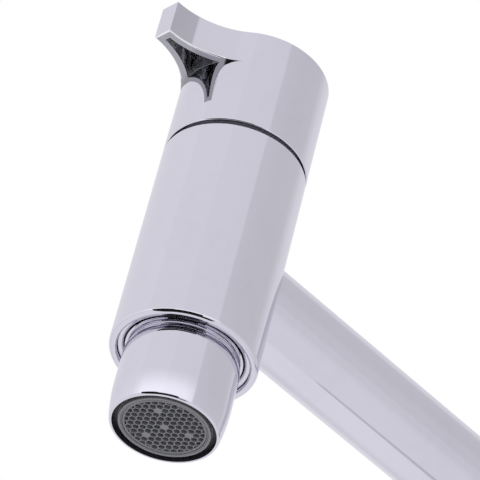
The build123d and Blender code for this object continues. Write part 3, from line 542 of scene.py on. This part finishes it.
# what each part of the frame wears
wears = {
    "polishedChrome": "barrel_shell lever_cap outlet_collar nozzle_sleeve spout_tube base_rosette base_body "
                      "base_collar grub_screw_plug",
    "machinedBrass": "arm_union hot_inlet_socket cold_inlet_socket swivel_hub threaded_shank back_nut cartridge_nut "
                     "cartridge_spindle",
    "nickelBrass": "mixing_body swivel_ball ball_retaining_ring",
    "drawnCopper": "hot_feed_tube cold_feed_tube",
    "blackPlastic": "nozzle_core",
    "graphitePlastic": "glide_ring",
    "greyPlastic": "aerator_housing aerator_grid",
    "whitePlastic": "aerator_jet_plate aerator_filter flow_regulator cartridge_base cartridge_housing disc_carrier "
                    "riser_tube_clip arm_tube_clip",
    "acetal": "upper_swivel_bush lower_swivel_bush thrust_washer slip_ring",
    "lappedCeramic": "fixed_disc moving_disc",
    "blackRubber": "feed_tube_seals port_seals spindle_seal ball_seal aerator_gasket base_gasket riser_dust_seal "
                   "under_worktop_seal",
    "stainlessSteel": "cap_grub_screw bush_snap_ring swivel_stop_screw clamp_washer",
}
for finishName, names in wears.items():
    for name in names.split():
        nodes[name].data.materials.clear()
        nodes[name].data.materials.append(finishes[finishName])
# the base and what is below it aren't mirrored in the polished arm above, nor are the copper tubes in the riser
baseTop = 0.12
for name, node in nodes.items():
    if "feed_tube" in name or max((node.matrix_world @ Vector(corner)).z for corner in node.bound_box) < baseTop:
        node.visible_glossy = False
bare = set(nodes) - {name for names in wears.values() for name in names.split()}
print("finishes set; parts without one:", sorted(bare))


# pieces modelled here
def startOutline(name, x, y, z):
    # one loose point, to draw an outline from
    deselectAll()
    bpy.ops.mesh.primitive_plane_add(size=0.0001, location=(x, y, z))
    piece = bpy.context.object
    piece.name = name
    settle(piece)
    pick(piece, "vertices", lambda point: True)
    bpy.ops.mesh.merge(type="CENTER")
    return piece


def drawOn(points):
    # points are steps in place; the chain grows from the selected point
    here = Vector(points[0])
    for there in points[1:]:
        there = Vector(there)
        bpy.ops.mesh.extrude_vertices_move(TRANSFORM_OT_translate={"value": there - here})
        here = there


def arcPoints(middle, radius, start, stop, steps):
    turns = [math.radians(start + (stop - start) * k / steps) for k in range(steps + 1)]
    return [(middle[0] + radius * math.cos(turn), middle[1] + radius * math.sin(turn)) for turn in turns]


def turnPiece(name, outline, steps):
    # a turned piece round the head's axis, from its outline as (radius, height)
    points = [(headPlace[0] + radius, headPlace[1], height) for radius, height in outline]
    piece = startOutline(name, *points[0])
    drawOn(points + points[:1])
    bpy.ops.mesh.select_all(action="SELECT")
    bpy.ops.mesh.remove_doubles(threshold=touching / 10)
    bpy.ops.mesh.spin(steps=steps, angle=2 * math.pi, center=(*headPlace, 0), axis=(0, 0, 1), use_auto_merge=True)
    bpy.ops.mesh.select_all(action="SELECT")
    bpy.ops.mesh.remove_doubles(threshold=touching / 10)
    bpy.ops.mesh.normals_make_consistent(inside=False)
    bpy.ops.object.mode_set(mode="OBJECT")
    return piece


def smoothOff(piece, angle):
    deselectAll()
    piece.select_set(True)
    bpy.context.view_layer.objects.active = piece
    bpy.ops.object.shade_smooth_by_angle(angle=math.radians(angle))
    even = piece.modifiers.new("even", "WEIGHTED_NORMAL")
    even.keep_sharp = True
    even.weight = 100
    bpy.ops.object.modifier_apply(modifier=even.name)


def applyOne(piece, kind, **values):
    deselectAll()
    piece.select_set(True)
    bpy.context.view_layer.objects.active = piece
    modifier = piece.modifiers.new(kind.lower(), kind)
    for key, value in values.items():
        setattr(modifier, key, value)
    bpy.ops.object.modifier_apply(modifier=modifier.name)


def paint(piece, finish, test):
    # the faces that pass the test get this finish
    piece.data.materials.append(finish)
    piece.active_material_index = len(piece.data.materials) - 1
    pick(piece, "polygons", test)
    bpy.ops.object.material_slot_assign()
    bpy.ops.object.mode_set(mode="OBJECT")


def growBy(rise):
    bpy.ops.mesh.extrude_region_move(TRANSFORM_OT_translate={"value": (0, 0, rise)})


def cut(piece, tool):
    if not tool.data.materials:
        tool.data.materials.append(chrome)
    applyOne(piece, "BOOLEAN", operation="DIFFERENCE", object=tool, solver="EXACT", material_mode="TRANSFER")
    deselectAll()
    tool.select_set(True)
    bpy.ops.object.delete()


# nozzle: grooved neck, plain side that draws in to a thin rolled lip
nozzleLook = {
    "radius": 0.01765, "neckRadius": 0.01725, "neckBore": 0.01405, "coreRadius": 0.0152, "coreBottom": 0.2404,
    "flange": 0.26585, "flangeRadius": 0.01780, "flangeEdge": 0.0001, "top": 0.2670, "plate": 0.2650,
    "shoulder": 0.2620, "shoulderRound": 0.00035,
    "grooves": (0.26520, 0.26367), "grooveWidth": 0.0005, "grooveDepth": 0.00045,
    "mouthRadius": 0.01565, "mouthChamfer": 0.00004, "lipFlat": 0.0003, "lowest": 0.23845,
    "lipRound": 0.00055, "lipTurn": 30, "lipOuterRound": 0.0016, "sideTilt": 11, "steps": 192, "smoothTo": 40,
}


def modelNozzle(look):
    # from the mouth's edge outwards: a narrow flat, a tight roll, an easier one, and the side's long sweep up
    tilt, turn, tight, easy = look["sideTilt"], look["lipTurn"], look["lipRound"], look["lipOuterRound"]
    lip = arcPoints((look["mouthRadius"] + look["lipFlat"], look["lowest"] + tight), tight, -90, -turn, steps=8)
    middle = (lip[-1][0] - easy * math.cos(math.radians(turn)), lip[-1][1] + easy * math.sin(math.radians(turn)))
    lip += arcPoints(middle, easy, -turn, -tilt, steps=8)[1:]
    sweep = (look["radius"] - lip[-1][0]) / (1 - math.cos(math.radians(tilt)))
    sideMiddle = (look["radius"] - sweep, lip[-1][1] + sweep * math.sin(math.radians(tilt)))
    side = arcPoints(sideMiddle, sweep, -tilt, 0, steps=14)
    rounded = look["shoulderRound"]
    shoulder = arcPoints((look["radius"] - rounded, look["shoulder"] - rounded), rounded, 0, 90, steps=5)
    neck = [(look["neckRadius"], look["shoulder"])]
    half, deep = look["grooveWidth"] / 2, look["neckRadius"] - look["grooveDepth"]
    for height in reversed(look["grooves"]):        # each groove is rounded at its root
        neck += [(look["neckRadius"], height - half), (deep + half * 0.6, height - half * 0.8), (deep, height),
                 (deep + half * 0.6, height + half * 0.8), (look["neckRadius"], height + half)]
    inside = [(look["neckRadius"], look["flange"]), (look["flangeRadius"], look["flange"] + look["flangeEdge"]),
              (look["flangeRadius"], look["top"]), (look["neckBore"], look["top"]), (look["neckBore"], look["plate"]),
              (look["coreRadius"], look["plate"]), (look["coreRadius"], look["coreBottom"]),
              (look["mouthRadius"], look["coreBottom"]), (look["mouthRadius"], look["lowest"] + look["mouthChamfer"])]
    nozzle = turnPiece("nozzle", inside[-1:] + lip + side[1:] + shoulder + neck + inside[:-1], look["steps"])
    smoothOff(nozzle, look["smoothTo"])
    nozzle.data.materials.append(chrome)
    # the mouth's inner wall is black
    paint(nozzle, finishes["blackPlastic"],
          lambda face: face.center.z < look["coreBottom"] + close and fromAxis(face.center) < look["mouthRadius"])
    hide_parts("nozzle_sleeve")
    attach(nozzle, "nozzle")
    print("nozzle modelled:", len(nozzle.data.polygons), "faces")


modelNozzle(nozzleLook)

# collar: the plain ring inside the barrel's rim, softly rounded towards the nozzle
collarLook = {"radius": 0.01996, "threadRadius": 0.02005, "bore": 0.0181, "bottom": 0.2657, "step": 0.2692,
              "top": 0.27718, "outerRound": 0.0002, "innerRound": 0.0010, "steps": 192, "smoothTo": 40}


def modelCollar(look):
    inside, outside = look["innerRound"], look["outerRound"]
    outline = [(look["threadRadius"], look["top"]), (look["threadRadius"], look["step"]),
               (look["radius"], look["step"])]
    outline += arcPoints((look["radius"] - outside, look["bottom"] + outside), outside, 0, -90, steps=4)
    outline += arcPoints((look["bore"] + inside, look["bottom"] + inside), inside, -90, -180, steps=10)
    outline += [(look["bore"], look["top"])]
    collar = turnPiece("outletCollar", outline, look["steps"])
    smoothOff(collar, look["smoothTo"])
    collar.data.materials.append(chrome)
    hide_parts("outlet_collar")
    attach(collar, "spout")
    print("collar modelled:", len(collar.data.polygons), "faces")


modelCollar(collarLook)

# aerator: its ring, with two beads round the mouth, and the honeycomb, four of its cells moulded shut
ringLook = {
    "radius": 0.01415, "bore": 0.01265, "face": 0.23878, "flange": 0.2403, "top": 0.2502,
    "beads": ((0.01346, 0.00044), (0.01282, 0.00016)), "rise": 0.00020,     # each bead's middle and half width
    "seam": 0.0004, "seamEdge": 0.00003, "steps": 160, "smoothTo": 50,
}


def modelRing(look):
    outline = [(look["bore"], look["top"]), (look["radius"], look["top"]), (look["radius"], look["flange"]),
               (sum(look["beads"][0]), look["flange"])]
    for middle, half in look["beads"]:
        for turn in range(0, 181, 20):
            outline.append((middle + half * math.cos(math.radians(turn)),
                            look["face"] + look["rise"] * (1 - math.sin(math.radians(turn)))))
        outline.append((middle - half - look["seamEdge"], look["face"] + look["seam"]))
    outline[-1] = (look["bore"], look["face"] + look["seam"])
    ring = turnPiece("aeratorRing", outline, look["steps"])
    smoothOff(ring, look["smoothTo"])
    ring.data.materials.append(finishes["greyPlastic"])
    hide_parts("aerator_housing")
    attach(ring, "nozzle")
    print("aerator ring modelled:", len(ring.data.polygons), "faces")


modelRing(ringLook)

gridLook = {
    "pitch": 0.0022, "web": 0.00036, "low": 0.2391, "high": 0.2424, "bore": 0.0119, "radius": 0.01258, "turn": 30,
    "cells": 15, "edge": 0.00010,
    "shut": 2,          # the shut cells lie this many steps along and across from the middle one
    "intoRim": 0.00014, "past": 0.001, "steps": 160, "smoothTo": 35,
}


def modelGrid(look):
    pitch, count = look["pitch"], look["cells"]
    rowStep = math.sqrt(0.75) * pitch
    deselectAll()
    bpy.ops.mesh.primitive_circle_add(vertices=6, radius=pitch / math.sqrt(3), fill_type="NGON",
                                      location=(0, 0, look["low"]))
    grid = settle(bpy.context.object)
    grid.name = "aeratorGrid"
    pick(grid, "polygons", lambda face: True)
    bpy.ops.mesh.inset(thickness=look["web"] / 2)
    bpy.ops.object.mode_set(mode="OBJECT")
    for step in ((pitch, 0, 0), (pitch / 2, rowStep, 0)):
        applyOne(grid, "ARRAY", count=count, use_relative_offset=False, use_constant_offset=True,
                 constant_offset_displace=step, use_merge_vertices=True, merge_threshold=pitch / 50)
    half = (count - 1) / 2
    deselectAll()
    grid.select_set(True)
    bpy.ops.transform.translate(value=(headPlace[0] - pitch * half * 1.5, headPlace[1] - rowStep * half, 0))
    bpy.ops.transform.rotate(value=math.radians(look["turn"]), orient_axis="Z", center_override=(*headPlace, 0))
    settle(grid)

    def middleOf(column, row):
        x, y, turn = pitch * (column + row / 2), rowStep * row, math.radians(look["turn"])
        return Vector((headPlace[0] + x * math.cos(turn) - y * math.sin(turn),
                       headPlace[1] + x * math.sin(turn) + y * math.cos(turn), look["low"]))

    column = row = look["shut"]
    shut = [middleOf(0, 0)]
    for k in range(3):
        shut.append(middleOf(column, row))
        column, row = -column - row, column

    def isOpen(face):
        return len(face.vertices) == 6 and min((face.center - middle).length for middle in shut) > pitch / 4

    pick(grid, "polygons", lambda face: fromAxis(face.center) > look["radius"] + pitch)
    bpy.ops.mesh.delete(type="FACE")
    pick(grid, "polygons", isOpen)
    bpy.ops.mesh.delete(type="FACE")
    applyOne(grid, "SOLIDIFY", thickness=look["high"] - look["low"], offset=1)
    applyOne(grid, "BEVEL", width=look["edge"], segments=2, limit_method="ANGLE", angle_limit=math.radians(70),
             use_clamp_overlap=True)
    # the webs end a little way into the rim
    deselectAll()
    bpy.ops.mesh.primitive_cylinder_add(vertices=look["steps"], radius=look["bore"] + look["intoRim"],
                                        depth=look["high"] - look["low"] + 2 * look["past"],
                                        location=(*headPlace, (look["high"] + look["low"]) / 2))
    around = settle(bpy.context.object)
    applyOne(grid, "BOOLEAN", operation="INTERSECT", object=around, solver="EXACT")
    deselectAll()
    around.select_set(True)
    bpy.ops.object.delete()
    inner, outer, low, high, edge = look["bore"], look["radius"], look["low"], look["high"], look["edge"]
    rim = turnPiece("gridRim", [(inner, high), (outer, high), (outer, low + edge), (outer - edge, low),
                                (inner + edge, low), (inner, low + edge)], look["steps"])
    deselectAll()
    rim.select_set(True)
    grid.select_set(True)
    bpy.context.view_layer.objects.active = grid
    bpy.ops.object.join()
    smoothOff(grid, look["smoothTo"])
    grid.data.materials.clear()
    grid.data.materials.append(finishes["greyPlastic"])
    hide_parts("aerator_grid")
    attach(grid, "nozzle")
    print("aerator grid modelled:", len(grid.data.polygons), "faces")


modelGrid(gridLook)

# lever cap: a drum whose side sweeps out into a fin, hollow below, with a cast pocket under the fin
capLook = {
    "radius": 0.0225, "bottom": 0.33975, "top": 0.37615, "finBottom": 0.36375, "wall": 0.0029, "ceiling": 0.37265,
    "bossRadius": 0.0085, "bossBottom": 0.33875, "bore": 0.00505, "boreTop": 0.33976,
    "socket": 0.0071, "socketTop": 0.35375,
    "flareMiddle": (0.030767, -0.03938), "flareRadius": 0.027474, "flareFrom": 128.0, "flareTo": 181.29,
    "rim": 0.0024, "pocketFrom": 143.2, "pocketTo": 176.58, "pocketTop": 0.37395,
    "plugRadius": 0.0030, "grubRadius": 0.0020, "grubHeight": 0.34775, "edge": 0.0004,
    "shadeFrom": 0.03103,       # the fin's sides get painted shade from this far in front of the axis
    "frontArc": (-128.5, -51.5), "seamArc": (-128.1, -51.9),        # degrees; the drum's arc that the fin covers
    "past": 0.001,              # how far each cutter sticks out
    "steps": 180, "holeSteps": 48, "joinWithin": 0.00003, "smoothTo": 35,
}


def modelLeverCap(look):
    cx, cy = headPlace
    flare = arcPoints(look["flareMiddle"], look["flareRadius"], look["flareFrom"], look["flareTo"], steps=18)
    chain = flare + [(-x, y) for x, y in reversed(flare)]
    chain = [(cx + x, cy + y, look["top"]) for x, y in chain]
    deselectAll()
    bpy.ops.mesh.primitive_circle_add(vertices=look["steps"], radius=look["radius"], fill_type="NGON",
                                      location=(cx, cy, look["top"]))
    cap = bpy.context.object
    cap.name = "leverCap"
    settle(cap)
    first = Vector(chain[0])
    nearest = min(cap.data.vertices, key=lambda point: (point.co - first).length).index
    pick(cap, "vertices", lambda point: point.index == nearest)
    drawOn([tuple(cap.data.vertices[nearest].co)] + chain[1:])
    bpy.ops.mesh.select_all(action="SELECT")
    bpy.ops.mesh.remove_doubles(threshold=look["joinWithin"])
    bpy.ops.object.mode_set(mode="OBJECT")

    def onFront(point):
        low, high = look["frontArc"]
        return fromAxis(point.co) > look["radius"] + 5 * close or low < roundAxis(point.co) < high

    pick(cap, "vertices", onFront)
    bpy.ops.mesh.edge_face_add()
    # the whole plan goes down to the fin's underside, and the drum alone goes on
    bpy.ops.mesh.select_all(action="SELECT")
    growBy(look["finBottom"] - look["top"])
    under = look["finBottom"]
    pick(cap, "polygons",
         lambda face: abs(face.center.z - under) < touching and face.center.y > cy - look["bossRadius"] / 2)
    growBy(look["bottom"] - look["finBottom"])
    # then in from below: the hollow, the boss in its middle, and the boss's bore
    bpy.ops.mesh.inset(thickness=look["wall"])
    growBy(look["ceiling"] - look["bottom"])
    bpy.ops.mesh.inset(thickness=look["radius"] - look["wall"] - look["bossRadius"])
    growBy(look["bossBottom"] - look["ceiling"])
    bpy.ops.mesh.inset(thickness=look["bossRadius"] - look["bore"])
    growBy(look["boreTop"] - look["bossBottom"])
    bpy.ops.mesh.select_all(action="SELECT")
    bpy.ops.mesh.normals_make_consistent(inside=False)
    bpy.ops.object.mode_set(mode="OBJECT")
    cap.data.materials.append(chrome)

    def pickEdges(height, test):
        # edges that lie at one height, with both ends passing the test
        def chosen(edge):
            ends = [cap.data.vertices[index].co for index in edge.vertices]
            return all(abs(end.z - height) < touching and test(end) for end in ends)
        pick(cap, "edges", chosen)

    def onSeam(end):
        low, high = look["seamArc"]
        return fromAxis(end) < look["radius"] + close and low < roundAxis(end) < high

    # the drum's outline where the fin grows from it isn't an edge on top
    pickEdges(look["top"], onSeam)
    bpy.ops.mesh.dissolve_edges()
    bpy.ops.object.mode_set(mode="OBJECT")
    # the outer edges are rolled over; under the fin only where it is clear of the drum
    for height, reach in ((look["top"], 0), (look["bottom"], 0), (look["finBottom"], 3 * look["edge"])):
        pickEdges(height, lambda end: fromAxis(end) > look["radius"] + reach - close and (reach == 0 or end.y < cy))
        bpy.ops.mesh.bevel(offset=look["edge"], segments=3, affect="EDGES", clamp_overlap=False)
        bpy.ops.object.mode_set(mode="OBJECT")

    # what is cut from it: the cast pocket, the spindle's square socket, and the holes for the plug and grub screw
    past = look["past"]
    inner = look["flareRadius"] + look["rim"]
    edge = arcPoints(look["flareMiddle"], inner, look["pocketFrom"], look["pocketTo"], steps=16)
    turnIn = math.degrees(math.atan2(edge[0][1], edge[0][0]))
    back = arcPoints((0, 0), look["radius"] + 4 * close, -180 - turnIn, turnIn, steps=14)
    loop = edge + [(-x, y) for x, y in reversed(edge)] + back[1:-1]
    loop = [(cx + x, cy + y, look["finBottom"] - past) for x, y in loop]
    hollow = startOutline("pocketCutter", *loop[0])
    drawOn(loop)
    bpy.ops.mesh.select_all(action="SELECT")
    bpy.ops.mesh.edge_face_add()
    growBy(look["pocketTop"] - look["finBottom"] + past)
    bpy.ops.mesh.select_all(action="SELECT")
    bpy.ops.mesh.normals_make_consistent(inside=False)
    bpy.ops.object.mode_set(mode="OBJECT")
    hollow.data.materials.append(pocket)
    cut(cap, hollow)
    deselectAll()
    side, low, high = look["socket"], look["bossBottom"] - past, look["socketTop"]
    bpy.ops.mesh.primitive_cube_add(size=1, location=(cx, cy, (low + high) / 2), scale=(side, side, high - low))
    cut(cap, settle(bpy.context.object))
    for radius, start, stop in ((look["grubRadius"], 0, look["bossRadius"] + past),
                                (look["plugRadius"], look["radius"] - look["wall"] - past, look["radius"] + past)):
        bpy.ops.mesh.primitive_cylinder_add(vertices=look["holeSteps"], radius=radius, depth=stop - start,
                                            rotation=(math.pi / 2, 0, 0),
                                            location=(cx, cy + (start + stop) / 2, look["grubHeight"]))
        cut(cap, settle(bpy.context.object))
    smoothOff(cap, look["smoothTo"])
    # the fin's underside is rougher and painted darker as painted shade, the rolled edge round it is a painted
    # highlight, and the fin's sides get painted shade
    edge = look["edge"]
    # painted shade: the fin's flat underside is painted darker
    paint(cap, finishes["dullChromePaintedShade"], lambda face: abs(face.center.z - under) < 2 * close and face.normal.z < -0.99)
    # painted highlight: the rolled edge under the fin is painted near white
    paint(cap, finishes["paintedHighlightEdge"],
          lambda face: under + close < face.center.z < under + edge and -0.97 < face.normal.z < -0.05 and
          fromAxis(face.center) > look["radius"] - close)
    # painted shade: the fin's sides in front are painted darker
    paint(cap, finishes["paintedShadeChrome"],
          lambda face: face.center.z > under + edge / 2 and face.center.y < cy - look["shadeFrom"] and
          abs(face.normal.x) > 0.75 and abs(face.normal.z) < 0.2 and face.material_index == 0)
    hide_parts("lever_cap")
    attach(cap, "lever")
    print("lever cap modelled:", len(cap.data.polygons), "faces")


modelLeverCap(capLook)
